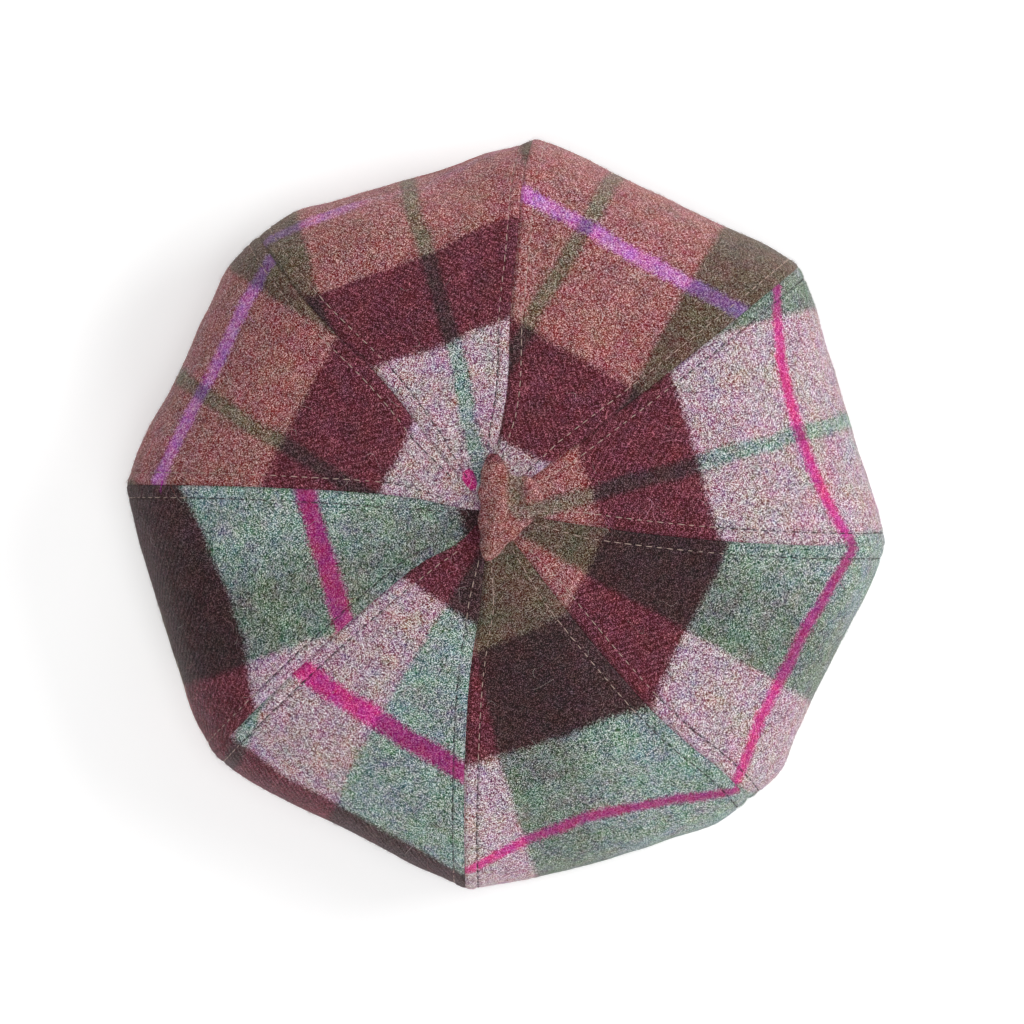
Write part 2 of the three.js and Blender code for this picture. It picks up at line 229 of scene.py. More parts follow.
def noise(x, y, seed):
    """Smooth noise from -1 to 1 with features about one unit across."""
    ix, iy = np.floor(x), np.floor(y)
    fx, fy = x - ix, y - iy
    sx, sy = fx * fx * fx * (fx * (fx * 6 - 15) + 10), fy * fy * fy * (fy * (fy * 6 - 15) + 10)
    ix, iy = ix.astype(np.int64), iy.astype(np.int64)
    a, b = lattice(ix, iy, seed), lattice(ix + 1, iy, seed)
    c, d = lattice(ix, iy + 1, seed), lattice(ix + 1, iy + 1, seed)
    return (a * (1 - sx) + b * sx) * (1 - sy) + (c * (1 - sx) + d * sx) * sy


def edge_point(i, t):
    """Points of a gore's widest line, in plan from the crown's centre."""
    g, a, b = GORES[i], SEAMS[i], SEAMS[(i + 1) % GORE_COUNT]
    start, end = plan(a[0], a[1] * CROWN_RADIUS), plan(b[0], b[1] * CROWN_RADIUS)
    along = end - start
    outward = np.array([-along[1], along[0]]) / np.linalg.norm(along)
    lift = three_way(g[0], g[1], g[2], t) * CROWN_RADIUS * (1 - np.abs(t) ** ENDS_POWER)
    return start + along * ((t + 1) / 2)[..., None] + outward * lift[..., None]


def wander(xy):
    """Moves points of the plan sideways as the seams wander."""
    shift = np.zeros_like(xy)
    for x, y, dx, dy, spread in WANDER:
        near = np.exp(-((xy[..., 0] - x) ** 2 + (xy[..., 1] - y) ** 2) / spread ** 2)
        shift = shift + near[..., None] * np.array([dx, dy])
    return xy + shift


def share_out(w):
    """How far out a row is in plan, as a share of the way to the widest line."""
    tip = TIP_RADIUS / CROWN_RADIUS
    return tip + (1 - tip) * (1 - (1 - np.minimum(w, 1)) ** 2)


def plain(i, t, w):
    """Points of the plain form of a gore, in millimetres, from the headband's centre."""
    t, w = np.broadcast_arrays(np.asarray(t, float), np.asarray(w, float))
    g, a, b = GORES[i], SEAMS[i], SEAMS[(i + 1) % GORE_COUNT]
    fall = three_way(a[3], g[3], b[3], t)
    square = three_way(a[4], g[4], b[4], t)
    edge = edge_point(i, t)
    out = share_out(w)
    turn = 1 - np.sqrt(np.maximum(0, 1 - out ** square))
    drop = BROW_SHARE * out * out + (fall - BROW_SHARE) * turn
    size = CROWN_RADIUS * 4 * out * (1 - out)
    side = plan(a[0] + 90, 1.0) * (a[2] * size * (1 - t) / 2)[..., None]
    side = side + plan(b[0] + 90, 1.0) * (b[2] * size * (1 + t) / 2)[..., None]
    top_xy = wander(edge * out[..., None] + side + CROWN_SHIFT)
    top = np.concatenate([top_xy, (CROWN_HEIGHT * (1 - drop))[..., None]], axis=-1)
    under = np.clip(w - 1, 0, 1)
    bearing = BAND_BEARING + 360 / GORE_COUNT * (i + (t + 1) / 2)
    ring = plan(bearing, BAND_INNER + BAND_THICKNESS + PIECE_GAP)
    inward = (1 - np.cos(under * math.pi / 2))[..., None]
    under_xy = wander(edge + CROWN_SHIFT) * (1 - inward) + ring * inward
    hang = TUCK_SHARE * CROWN_HEIGHT * np.sin(under * math.pi)
    edge_z, join_z = CROWN_HEIGHT * (1 - fall), BAND_HEIGHT * JOIN_SHARE
    under_z = edge_z + (join_z - edge_z) * under ** UNDER_POWER - hang
    below = np.concatenate([under_xy, under_z[..., None]], axis=-1)
    return np.where((w <= 1)[..., None], top, below)


def unit(v):
    return v / np.maximum(np.linalg.norm(v, axis=-1, keepdims=True), 1e-9)


def normals(i, t, w, step=0.01):
    """Outward normals of the plain form."""
    across = plain(i, np.minimum(t + step, 1), w) - plain(i, np.maximum(t - step, -1), w)
    along = plain(i, t, np.minimum(w + step, 2)) - plain(i, t, np.maximum(w - step, 0))
    return -unit(np.cross(along, across))


def dents(i, t, w):
    """How far the puff, the sag and the dents lift a gore off its plain form."""
    g = GORES[i]
    out = np.where(w <= 1, share_out(w), w)
    between = 1 - t * t
    top = smooth(0.12, 0.5, out) * (1 - smooth(0.88, 1.3, out))
    rise = PUFF_HEIGHT * g[5] * between * top
    rise = rise - SAG_DEPTH * g[6] * between * np.exp(-(((out - 0.88) / 0.1) ** 2))
    for gore, o, c, long, wide, size in DENTS:
        if gore == i:
            rise = rise + size * between * np.exp(-(((out - o) / long) ** 2) - ((t - c) / wide) ** 2)
    return rise


def in_pale_stripe(v):
    """Whether the weft here is the pale one, whose nap hides the thread."""
    place = v % REPEAT_V
    return (place > WEFT[1][0]) & (place < WEFT[2][0])


def length_along(points):
    """Distance of each point from the first, along the line through them."""
    steps = np.linalg.norm(np.diff(points, axis=0), axis=-1)
    return np.concatenate([[0], np.cumsum(steps)])


def cell_areas(p):
    """Area of each cell in a grid of points."""
    return np.linalg.norm(np.cross(p[1:, :-1] - p[:-1, :-1], p[:-1, 1:] - p[:-1, :-1]), axis=-1)


class Gore:
    """One crown panel as a fine grid: rows run from the centre to the headband, columns across."""

    # Columns beside a seam, in millimetres from it. The twelfth lies on the topstitching
    SEAM_COLUMNS = np.array([
        0, 0.25, 0.5, 0.9, 1.4, 1.9, 2.5, 3.2, 3.9, 4.4, 4.75, 5, 5.25, 5.6, 6.1, 6.9, 8, 9.6, 11.5,
    ])
    STITCH_COLUMN = 11
    FIELD_COLUMNS = 41
    ROW_STEP = 0.85
    GROOVE_DEPTH, GROOVE_WIDTH = 0.75, 0.6
    WELT_RISE = 0.35  # over the turned-in allowance
    CHANNEL_DEPTH, CHANNEL_WIDTH = 0.28, 0.5  # along the topstitching
    STITCH_PULL, SUNK_PULL = 0.22, 0.3  # deeper at each stitch, and deeper in the pale stripe
    PUCKER_RISE, PUCKER_PITCH = 0.16, 9.3
    LUMPS = ((0.55, 26, 11), (0.22, 10, 31), (0.06, 3.1, 51))  # rise, size and seed
    LAST_ROWS = 1.93  # from here the cloth lies flat to its end

    def __init__(self, i):
        self.i = i
        fine = np.linspace(0, 2, 1600)
        far = length_along(plain(i, np.zeros_like(fine), fine))
        count = int(far[-1] / self.ROW_STEP)
        w = np.interp(np.linspace(0, far[-1], count), far, fine)
        half = np.linalg.norm(plain(i, np.ones_like(w), w) - plain(i, -np.ones_like(w), w), axis=-1) / 2
        reach = self.SEAM_COLUMNS[-1]
        fit = np.minimum(1, 0.8 * half / reach)
        near = self.SEAM_COLUMNS[None, :] * (fit / half)[:, None]
        last = 1 - near[:, -1]
        field = np.linspace(-1, 1, self.FIELD_COLUMNS + 2)[1:-1]
        self.t = np.concatenate([-(1 - near), field[None, :] * last[:, None], (1 - near)[:, ::-1]], axis=1)
        self.w = np.repeat(w[:, None], self.t.shape[1], axis=1)
        self.half = half
        self.d = (1 - np.abs(self.t)) * half[:, None]
        self.stitch_columns = [self.STITCH_COLUMN, self.t.shape[1] - 1 - self.STITCH_COLUMN]
        self.lay_cloth()
        self.shape()

    def lay_cloth(self):
        """Where each point lies on the woven cloth, in millimetres."""
        i, t, w = self.i, self.t, self.w
        cut = CUTS[i]
        points = plain(i, t, w)
        middle = plain(i, np.zeros(len(w)), w[:, 0])
        a, b = SEAMS[i], SEAMS[(i + 1) % GORE_COUNT]
        start, end = plan(a[0], a[1] * CROWN_RADIUS), plan(b[0], b[1] * CROWN_RADIUS)
        e = (end - start) / np.linalg.norm(end - start)
        outward = np.array([-e[1], e[0]])
        from_centre = middle[:, :2] - CROWN_SHIFT
        perp, offset = from_centre @ outward, from_centre @ e
        is_top = w[:, 0] <= 1
        flat_step = np.hypot(np.diff(perp), np.diff(middle[:, 2]))
        full_step = np.linalg.norm(np.diff(middle, axis=0), axis=-1)
        s = perp[0] + np.concatenate([[0], np.cumsum(np.where(is_top[1:], flat_step, full_step))])
        self.s_row = s
        offset = np.where(is_top, offset, offset[is_top][-1])
        steps = np.linalg.norm(np.diff(points, axis=1), axis=-1)
        u = np.concatenate([np.zeros((len(s), 1)), np.cumsum(steps, axis=1)], axis=1)
        centre = (t.shape[1] - 1) // 2
        u = u - u[:, centre:centre + 1] + offset[:, None]
        s = np.repeat(s[:, None], t.shape[1], axis=1)
        s = s + self.out_of_row(points, outward) * is_top[:, None]
        grain = math.radians(cut["grain"])
        edge = smooth(62, 108, s)
        tilt = np.radians(cut["tilt"][0] * (1 - edge) + cut["tilt"][1] * edge)
        ease = np.interp(s, EASE_AT, cut["ease"])
        if i == LAST_GORE:
            ease = ease * (1 - (1 - FAR_SIDE_EASE) * smooth(0, 0.8, t))
        along = s + u * np.tan(tilt) + ease
        along = along - cut["bow"] * t * t * smooth(85, 115, s)
        if i == LAST_GORE:
            out, side, long, wide = SPOT
            along = along + GATHER * np.exp(-((s / GATHER) ** 2))
            along = along - SPOT_DEPTH * np.exp(-(((s - out) / long) ** 2) - ((u - side) / wide) ** 2)
        self.u = cut["u"] + cut["side"] * (u * math.cos(grain) - s * math.sin(grain))
        self.u = self.u + np.interp(s, LEAN_AT, cut.get("lean", (0, 0, 0, 0, 0, 0)))
        self.v = cut["v"] + cut["out"] * along
        self.uv = np.stack([self.u, self.v, self.u, cut["v"] + cut["out"] * s], axis=-1)

    @staticmethod
    def out_of_row(points, outward):
        """How much further out than its row's middle each point lies."""
        middle = points[:, points.shape[1] // 2, :2]
        return (points[..., :2] - middle[:, None, :]) @ outward

    def mitred_normals(self):
        """Outward normals, which two gores share at the seam between them."""
        i, t, rows = self.i, self.t, self.w[:, 0]
        one = np.ones(len(rows))
        before, after = (i - 1) % GORE_COUNT, (i + 1) % GORE_COUNT
        left = unit(normals(i, -one, rows) + normals(before, one, rows))
        right = unit(normals(i, one, rows) + normals(after, -one, rows))
        miter = np.where((t < 0)[..., None], left[:, None, :], right[:, None, :])
        near_seam = np.exp(-((self.d / 1.6) ** 2))[..., None]
        return unit(normals(i, t, self.w) * (1 - near_seam) + miter * near_seam)

    def shape(self):
        """Lifts the cloth off the plain form: seams, stitches, pucker, lumps and dents."""
        i, t, w, d = self.i, self.t, self.w, self.d
        self.base = self.round_corners(plain(i, t, w))
        self.n = self.mitred_normals()
        s = self.s_row[:, None]
        settle = smooth(2, 9, self.half)[:, None] * (1 - smooth(self.LAST_ROWS, 2.0, w))
        rim = 1 - 0.7 * np.exp(-(((w - 1.02) / 0.2) ** 2))
        groove = -self.GROOVE_DEPTH * rim * np.exp(-((d / self.GROOVE_WIDTH) ** 2))
        welt = self.WELT_RISE * rim * smooth(0.2, 1.6, d) * (1 - smooth(5.2, 8.2, d))
        pull = self.CHANNEL_DEPTH + self.STITCH_PULL * (0.5 - 0.5 * np.cos(TURN * s / STITCH_PITCH))
        pull = pull + self.SUNK_PULL * in_pale_stripe(self.v)
        channel = -pull * np.exp(-(((d - STITCH_LINE) / self.CHANNEL_WIDTH) ** 2))
        wave = np.sin(TURN * s / self.PUCKER_PITCH + 3 * noise(s / 31, t * 0 + i, 7))
        pucker = self.PUCKER_RISE * wave * np.exp(-(((d - 2.6) / 2.2) ** 2))
        lumps = sum(rise * noise(self.u / size, self.v / size, seed + i) for rise, size, seed in self.LUMPS)
        relief = settle * (groove + welt + channel + pucker)
        self.rise = dents(i, t, w) + relief + settle * lumps * (0.25 + 0.75 * smooth(2, 10, d))
        self.p = self.base + self.n * self.rise[..., None]
        self.cell = cell_areas(self.p)

    def round_corners(self, base):
        """Draws the crown's corners in, and the edge beside them out a little."""
        from_centre = base[..., :2] - CROWN_SHIFT
        ends = np.where(self.t < 0, CORNER_ROUND[self.i], CORNER_ROUND[(self.i + 1) % GORE_COUNT])
        amount = ends * (np.exp(-((self.d / 9) ** 2)) - 0.4 * np.exp(-(((self.d - 19) / 8) ** 2)))
        amount = amount * np.exp(-(((self.w - 1) / 0.24) ** 2))
        rounded = base.copy()
        rounded[..., :2] -= unit(from_centre) * amount[..., None]
        return rounded

    def inner(self, rows, columns):
        """Points of the inner face, thicker where the seam allowance is turned in."""
        grid = np.ix_(rows, columns)
        n = self.n[grid]
        depth = CLOTH_THICKNESS + ALLOWANCE_THICKNESS * (self.d[grid] < SEAM_ALLOWANCE + 0.05)
        ends = smooth(1.9, 2.0, self.w[grid])[..., None]
        way = -n * (1 - ends) + np.array([0, 0, 1.0]) * ends
        base = self.base[grid] + n * np.maximum(self.rise[grid], -0.5)[..., None] * 0.5
        return base + unit(way) * depth[..., None]


def build_mesh(name, verts, faces, uv, material):
    """verts in millimetres in the part's frame, faces as index lists or one array, uv per vertex."""
    mesh = bpy.data.meshes.new(name)
    if isinstance(faces, np.ndarray):
        loops = faces.astype(np.int32).ravel()
        sizes = np.full(len(faces), faces.shape[1], np.int32)
    else:
        loops = np.concatenate([np.asarray(f, np.int32) for f in faces])
        sizes = np.array([len(f) for f in faces], np.int32)
    mesh.vertices.add(len(verts))
    mesh.vertices.foreach_set("co", ((verts + SHIFT) * MM).astype(np.float32).ravel())
    mesh.loops.add(len(loops))
    mesh.loops.foreach_set("vertex_index", loops)
    mesh.polygons.add(len(sizes))
    starts = np.concatenate([[0], np.cumsum(sizes)[:-1]]).astype(np.int32)
    mesh.polygons.foreach_set("loop_start", starts)
    mesh.polygons.foreach_set("use_smooth", np.ones(len(sizes), bool))
    mesh.update(calc_edges=True)
    if uv is not None:
        uv = np.asarray(uv)[loops] / UV_UNIT
        for layer_name, pair in (("cloth", uv[:, :2]), ("yarn", uv[:, -2:])):
            layer = mesh.uv_layers.new(name=layer_name)
            layer.data.foreach_set("uv", pair.astype(np.float32).ravel())
    mesh.validate()
    mesh.materials.append(material)
    obj = bpy.data.objects.new(name, mesh)
    bpy.context.scene.collection.objects.link(obj)
    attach(obj, "root")
    return obj


def grid_faces(rows, columns, start=0, flip=False):
    """Quads of a grid whose points are numbered row by row from start."""
    r, c = np.meshgrid(np.arange(rows - 1), np.arange(columns - 1), indexing="ij")
    a = (start + r * columns + c).ravel()
    quads = np.stack([a, a + 1, a + columns + 1, a + columns], axis=1)
    return quads[:, ::-1] if flip else quads


def zip_strip(fine, coarse, flip):
    """Triangles between two rows of points that run the same way."""
    out = []
    i, j = 0, 0
    n, m = len(fine) - 1, len(coarse) - 1
    while i < n or j < m:
        if j == m or (i < n and (i + 1) / n <= (j + 1) / m):
            tri = [fine[i], coarse[j], fine[i + 1]]
            i += 1
        else:
            tri = [fine[i], coarse[j], coarse[j + 1]]
            j += 1
        out.append(tri[::-1] if flip else tri)
    return out


def srgb(r, g, b):
    """A colour in levels of 0 to 255 as a linear one."""
    lin = []
    for x in (r, g, b):
        x = x / 255
        lin.append(x / 12.92 if x <= 0.04045 else ((x + 0.055) / 1.055) ** 2.4)
    return (*lin, 1.0)


class Nodes:
    """Small helpers to write a node tree."""

    def __init__(self, name):
        self.mat = bpy.data.materials.new(name)
        self.mat.use_nodes = True
        self.tree = self.mat.node_tree
        self.tree.nodes.clear()
        self.out = self.add("ShaderNodeOutputMaterial")

    def add(self, kind, **props):
        node = self.tree.nodes.new(kind)
        for key, value in props.items():
            setattr(node, key, value)
        return node

    def link(self, source, target):
        if isinstance(source, (int, float, tuple)):
            target.default_value = source
        else:
            self.tree.links.new(source, target)

    def math(self, op, *values, clamp=False):
        node = self.add("ShaderNodeMath", operation=op, use_clamp=clamp)
        for socket, value in zip(node.inputs, values):
            self.link(value, socket)
        return node.outputs[0]

    def vec(self, op, a, b=None, scale=None):
        node = self.add("ShaderNodeVectorMath", operation=op)
        self.link(a, node.inputs[0])
        if b is not None:
            self.link(b, node.inputs[1])
        if scale is not None:
            self.link(scale, node.inputs["Scale"])
        return node.outputs[0]

    def noise(self, vector, scale, detail=2.0, rough=0.5):
        node = self.add("ShaderNodeTexNoise")
        self.link(vector, node.inputs["Vector"])
        node.inputs["Scale"].default_value = scale
        node.inputs["Detail"].default_value = detail
        node.inputs["Roughness"].default_value = rough
        return node

    def sway(self, vector, scale, detail, rough=0.5):
        """Noise of three values around zero."""
        return self.vec("SUBTRACT", self.noise(vector, scale, detail, rough).outputs[1], (0.5, 0.5, 0.5))

    def mix(self, fac, a, b):
        node = self.add("ShaderNodeMix", data_type="RGBA", blend_type="MIX")
        self.link(fac, node.inputs[0])
        self.link(a, node.inputs[6])
        self.link(b, node.inputs[7])
        return node.outputs[2]

    def split(self, vector):
        node = self.add("ShaderNodeSeparateXYZ")
        self.link(vector, node.inputs[0])
        return node.outputs

    def join(self, x, y, z=0.0):
        node = self.add("ShaderNodeCombineXYZ")
        for socket, value in zip(node.inputs, (x, y, z)):
            self.link(value, socket)
        return node.outputs[0]

    def ramp(self, fac, stops):
        node = self.add("ShaderNodeValToRGB")
        elements = node.color_ramp.elements
        for place, (position, colour) in enumerate(stops):
            stop = elements[place] if place < 2 else elements.new(position)
            stop.position = position
            stop.color = colour
        self.link(fac, node.inputs[0])
        return node.outputs[0]

    def surface(self, colour, roughness, values=None):
        """A Principled shader, linked to the output."""
        shader = self.add("ShaderNodeBsdfPrincipled")
        self.link(colour, shader.inputs["Base Color"])
        self.link(roughness, shader.inputs["Roughness"])
        for name, value in (values or {}).items():
            shader.inputs[name].default_value = value
        self.link(shader.outputs[0], self.out.inputs[0])
        return shader

    def bump(self, shader, height, strength, distance):
        bump = self.add("ShaderNodeBump")
        bump.inputs["Strength"].default_value = strength
        bump.inputs["Distance"].default_value = distance
        self.link(height, bump.inputs["Height"])
        self.link(bump.outputs[0], shader.inputs["Normal"])


def soft_stops(starts, values, repeat):
    """Colour stops that hold each value and blend to the next over a short way."""
    meet = tuple((a + b) / 2 for a, b in zip(values[0], values[-1]))
    stops = [(0.0, meet)]
    ends = starts[1:] + [repeat]
    for start, end, value in zip(starts, ends, values):
        stops.append(((start + FUZZ) / repeat, value))
        stops.append(((end - FUZZ) / repeat, value))
    return stops + [(1.0, meet)]


def check_colour(k, x, y, highlight_from):
    """The check's colour at a place on the cloth. Also how dark the warp is there, how strongly the twill
    shows, how deep the weft's colour is, and whether a thin bright line runs there."""
    across = k.math("DIVIDE", k.math("FLOORED_MODULO", k.math("SUBTRACT", x, WARP_START), REPEAT_U), REPEAT_U)
    in_repeat = k.math("FLOORED_MODULO", y, REPEAT_V)
    along = k.math("DIVIDE", in_repeat, REPEAT_V)
    odd = k.math("FLOORED_MODULO", k.math("FLOOR", k.math("DIVIDE", y, REPEAT_V)), 2.0)
    warp = k.ramp(across, soft_stops([row[0] for row in WARP], [(*row[1:], 1.0) for row in WARP], REPEAT_U))
    starts = [row[0] for row in WEFT]
    light = k.ramp(along, soft_stops(starts, [(*srgb(*row[1])[:3], row[3]) for row in WEFT], REPEAT_V))
    dark = k.ramp(along, soft_stops(starts, [(*srgb(*row[2])[:3], row[4]) for row in WEFT], REPEAT_V))
    rib_strength = light.node.outputs[1]
    warp_parts = k.add("ShaderNodeSeparateColor")
    k.link(warp, warp_parts.inputs[0])
    dark_warp, blue_warp, narrow_warp = warp_parts.outputs
    deep = k.math("DIVIDE", k.math("SUBTRACT", rib_strength, 0.1), 0.19, clamp=True)
    narrow = k.math("MULTIPLY", narrow_warp, k.math("MULTIPLY_ADD", deep, -0.7, 1.0))
    bluer = k.math("MULTIPLY", blue_warp, k.math("MAXIMUM", dark.node.outputs[1], narrow))
    bluer = k.mix(bluer, dark, k.vec("MULTIPLY", dark, BLUER))
    colour = k.mix(dark_warp, light, bluer)
    in_line = 0.0
    for middle, half, next_half, on_light, on_dark in LINES:
        reach = k.math("MULTIPLY_ADD", odd, next_half - half, half + FUZZ)
        away = k.math("ABSOLUTE", k.math("SUBTRACT", in_repeat, middle))
        inside = k.math("DIVIDE", k.math("SUBTRACT", reach, away), 2 * FUZZ, clamp=True)
        # Past one place across the cloth, the second thin line fades pale: a painted highlight where the gore
        # turns over at the edge
        if highlight_from is not None and middle == LINES[1][0]:
            highlight_share = k.math("DIVIDE", k.math("SUBTRACT", x, highlight_from), 16.0, clamp=True)
            inside = k.math("MULTIPLY", inside, k.math("MULTIPLY_ADD", highlight_share, -0.6, 0.7))
        colour = k.mix(inside, colour, k.mix(dark_warp, srgb(*on_light), srgb(*on_dark)))
        in_line = k.math("MAXIMUM", inside, in_line)
    return colour, dark_warp, rib_strength, deep, in_line


def twill(k, place, fray):
    """The twill's lines as a wave, and the fibres of whichever yarn is on top."""
    x, y, _ = k.split(k.vec("ADD", place, k.vec("SCALE", fray, scale=1.2)))
    wale = k.math("SINE", k.math("MULTIPLY", k.math("DIVIDE", k.math("SUBTRACT", x, y), WALE_PITCH), TURN))
    top_yarn = k.math("MULTIPLY_ADD", wale, 0.5, 0.5)
    weft, warp = (
        k.noise(k.join(k.math("MULTIPLY", x, along), k.math("MULTIPLY", y, across)), 1.0, 2.0, 0.7).outputs[0]
        for along, across in ((0.6, 2.2), (2.2, 0.6))
    )
    fibres = k.math("ADD", k.math("MULTIPLY", weft, top_yarn),
                    k.math("MULTIPLY", warp, k.math("SUBTRACT", 1.0, top_yarn)))
    return wale, fibres


def wool_shade(k, place, speck, fibres, rib, deep, in_line):
    """How light or dark each bit of the wool is, around one."""
    grit = k.noise(k.vec("ADD", place, (57.0, 23.0, 9.0)), 2.7, 0.0).outputs[0]
    patch = k.noise(place, 0.45, 2.0, 0.6).outputs[0]
    power = k.math("MULTIPLY", k.math("SUBTRACT", speck, 0.5), SPECK_POWER)
    for value, strength in ((grit, GRIT_POWER), (fibres, FIBRE_POWER), (patch, PATCH_POWER)):
        power = k.math("MULTIPLY_ADD", k.math("SUBTRACT", value, 0.5), strength, power)
    power = k.math("MULTIPLY_ADD", rib, RIB_POWER, power)
    power = k.math("MULTIPLY", power, k.math("MULTIPLY_ADD", deep, 0.4, 1.0))
    power = k.math("MULTIPLY", power, k.math("MULTIPLY_ADD", in_line, -0.4, 1.0))
    shade = k.math("MAXIMUM", k.math("MULTIPLY_ADD", power, 0.31, 1.0), 0.2)
    return k.math("MULTIPLY", k.math("POWER", shade, 2.2), 0.93)


def lay_shade(k, colour, shade, deep):
    """Much of each speck of light and shade is grey, as in fibres that catch the light."""
    bright = k.add("ShaderNodeVectorMath", operation="DOT_PRODUCT")
    k.link(colour, bright.inputs[0])
    k.link((0.25, 0.65, 0.1), bright.inputs[1])
    grey = k.math("MULTIPLY", bright.outputs["Value"], k.math("SUBTRACT", shade, 1.0))
    grey_share = k.math("MULTIPLY_ADD", deep, -0.22, 0.82)
    grey = k.math("MULTIPLY", grey, grey_share)
    dyed = k.math("MULTIPLY_ADD", shade, k.math("SUBTRACT", 1.0, grey_share), grey_share)
    return k.vec("ADD", k.vec("SCALE", colour, scale=dyed), k.join(grey, grey, grey))


def tweed(name, nap=False, painted_light=(1.0, 1.0, 1.0), highlight_from=None):
    """Napped wool twill in a large check, laid out by the cloth's own coordinates. From one place across
    the cloth on, the second thin line is paled by a painted highlight."""
    k = Nodes(name)
    check = k.vec("SCALE", k.add("ShaderNodeUVMap", uv_map="cloth").outputs[0], scale=UV_UNIT)
    place = k.vec("SCALE", k.add("ShaderNodeUVMap", uv_map="yarn").outputs[0], scale=UV_UNIT)
    fray = k.sway(place, 1.1, 3.0, 0.75)
    drift = k.sway(place, 0.05, 1.0)
    moved = k.vec("ADD", check, k.vec("SCALE", fray, scale=6.5))
    moved = k.vec("ADD", moved, k.vec("SCALE", drift, scale=3.0))
    x, y, _ = k.split(moved)
    colour, dark_warp, rib_strength, deep, in_line = check_colour(k, x, y, highlight_from)
    wale, fibres = twill(k, place, fray)
    speck = k.noise(place, 1.5, 1.0, 0.9).outputs[0]
    rib = k.math("MULTIPLY", wale, rib_strength)
    rib = k.math("MULTIPLY", rib, k.math("MULTIPLY_ADD", dark_warp, -0.5, 1.0))
    shade = wool_shade(k, place, speck, fibres, rib, deep, in_line)
    flecks = k.sway(place, 0.55, 1.5)
    blotches = k.sway(place, 0.14, 2.0, 0.6)
    vary = k.vec("ADD", k.vec("SCALE", flecks, scale=0.5), k.vec("SCALE", blotches, scale=0.78))
    vary = k.vec("ADD", vary, k.vec("SCALE", drift, scale=0.35))
    factor = k.vec("MAXIMUM", k.vec("ADD", vary, (1.0, 1.0, 1.0)), (0.2, 0.2, 0.2))
    colour = lay_shade(k, k.vec("MULTIPLY", colour, factor), shade, deep)
    # A tint above one makes a lighter copy for the nap, which is painted light
    colour = k.vec("MAXIMUM", k.vec("MULTIPLY", colour, painted_light), (0.008, 0.008, 0.008))
    colour = k.vec("MINIMUM", colour, (0.92, 0.92, 0.92))
    # Pale fibres lying on the surface
    stray = k.noise(k.vec("ADD", place, (31.0, 17.0, 5.0)), 1.9, 4.0, 0.8).outputs[0]
    stray = k.math("SUBTRACT", stray, 0.6, clamp=True)
    pale = k.math("MULTIPLY", stray, k.math("MULTIPLY_ADD", deep, -0.5, 1.1), clamp=True)
    colour = k.mix(pale, colour, srgb(196, 178, 172))
    shader = k.surface(colour, k.math("MULTIPLY_ADD", fibres, 0.2, 0.76), {
        "IOR": 1.45, "Specular IOR Level": 0.14, "Sheen Weight": 0.26, "Sheen Roughness": 0.35,
        "Sheen Tint": (1.0, 0.94, 0.92, 1.0),
    })
    if not nap:
        height = k.math("MULTIPLY_ADD", wale, 0.14, k.math("MULTIPLY", fibres, 0.9))
        k.bump(shader, k.math("MULTIPLY_ADD", speck, 0.9, height), 0.8, 0.7 * MM)
    return k.mat


def thread_material(name, low, high):
    k = Nodes(name)
    coords = k.add("ShaderNodeTexCoord").outputs["Object"]
    fibres = k.noise(coords, 2600.0).outputs[0]
    shader = k.surface(k.mix(fibres, srgb(*low), srgb(*high)), k.math("MULTIPLY_ADD", fibres, 0.3, 0.45))
    k.bump(shader, fibres, 0.5, 0.1 * MM)
    return k.mat


def stray_material():
    k = Nodes("stray_fibre")
    coords = k.add("ShaderNodeTexCoord").outputs["Object"]
    vary = k.noise(coords, 180.0, 1.0).outputs[0]
    k.surface(k.mix(vary, srgb(176, 160, 158), srgb(232, 222, 214)), 0.6)
    return k.mat


# The nap's fibres are a lighter copy of the cloth: painted light, as on fibres that catch it
NAP_PAINTED_LIGHT = (1.08, 1.06, 1.06)
TWEED = tweed("check_tweed")
NAP = tweed("check_tweed_nap", nap=True, painted_light=NAP_PAINTED_LIGHT)
# Where the last gore turns over at the edge, its thin line is paled by a painted highlight
HIGHLIGHT_FROM = -30.0
HIGHLIGHT_TWEED = tweed("check_tweed_painted_highlight", highlight_from=HIGHLIGHT_FROM)
HIGHLIGHT_NAP = tweed("check_tweed_painted_highlight_nap", nap=True, painted_light=NAP_PAINTED_LIGHT, highlight_from=HIGHLIGHT_FROM)
THREAD = thread_material("thread", (152, 124, 116), (216, 192, 178))
# In the pale cloth the same thread lies deep in the nap; its darkness there is painted shade, in a darker
# copy of the thread's colours
SHADED_THREAD = thread_material("painted_shade_thread", (34, 22, 30), (62, 48, 56))
STRAY = stray_material()
rng = np.random.default_rng(8)


def panel_mesh(gore):
    """The gore's fine outer face, a coarser inner one, and strips that close the rim between them."""
    rows, columns = gore.t.shape
    inner_rows = np.unique(np.append(np.arange(0, rows, 5), rows - 1))
    seam_picks = [0, 4, 8, 13, 15, 18]
    picks = seam_picks + list(range(22, columns - 19, 6)) + [columns - 1 - c for c in seam_picks]
    inner_columns = np.unique(picks)
    size = (len(inner_rows), len(inner_columns))
    outer = np.arange(rows * columns).reshape(rows, columns)
    inner = outer.size + np.arange(size[0] * size[1]).reshape(size)
    faces = [*grid_faces(rows, columns), *grid_faces(*size, outer.size, flip=True)]
    faces += zip_strip(outer[:, 0], inner[:, 0], False) + zip_strip(outer[:, -1], inner[:, -1], True)
    faces += zip_strip(outer[0], inner[0], True) + zip_strip(outer[-1], inner[-1], False)
    verts = np.concatenate([gore.p.reshape(-1, 3), gore.inner(inner_rows, inner_columns).reshape(-1, 3)])
    inner_uv = gore.uv[np.ix_(inner_rows, inner_columns)]
    return verts, faces, np.concatenate([gore.uv.reshape(-1, 4), inner_uv.reshape(-1, 4)])


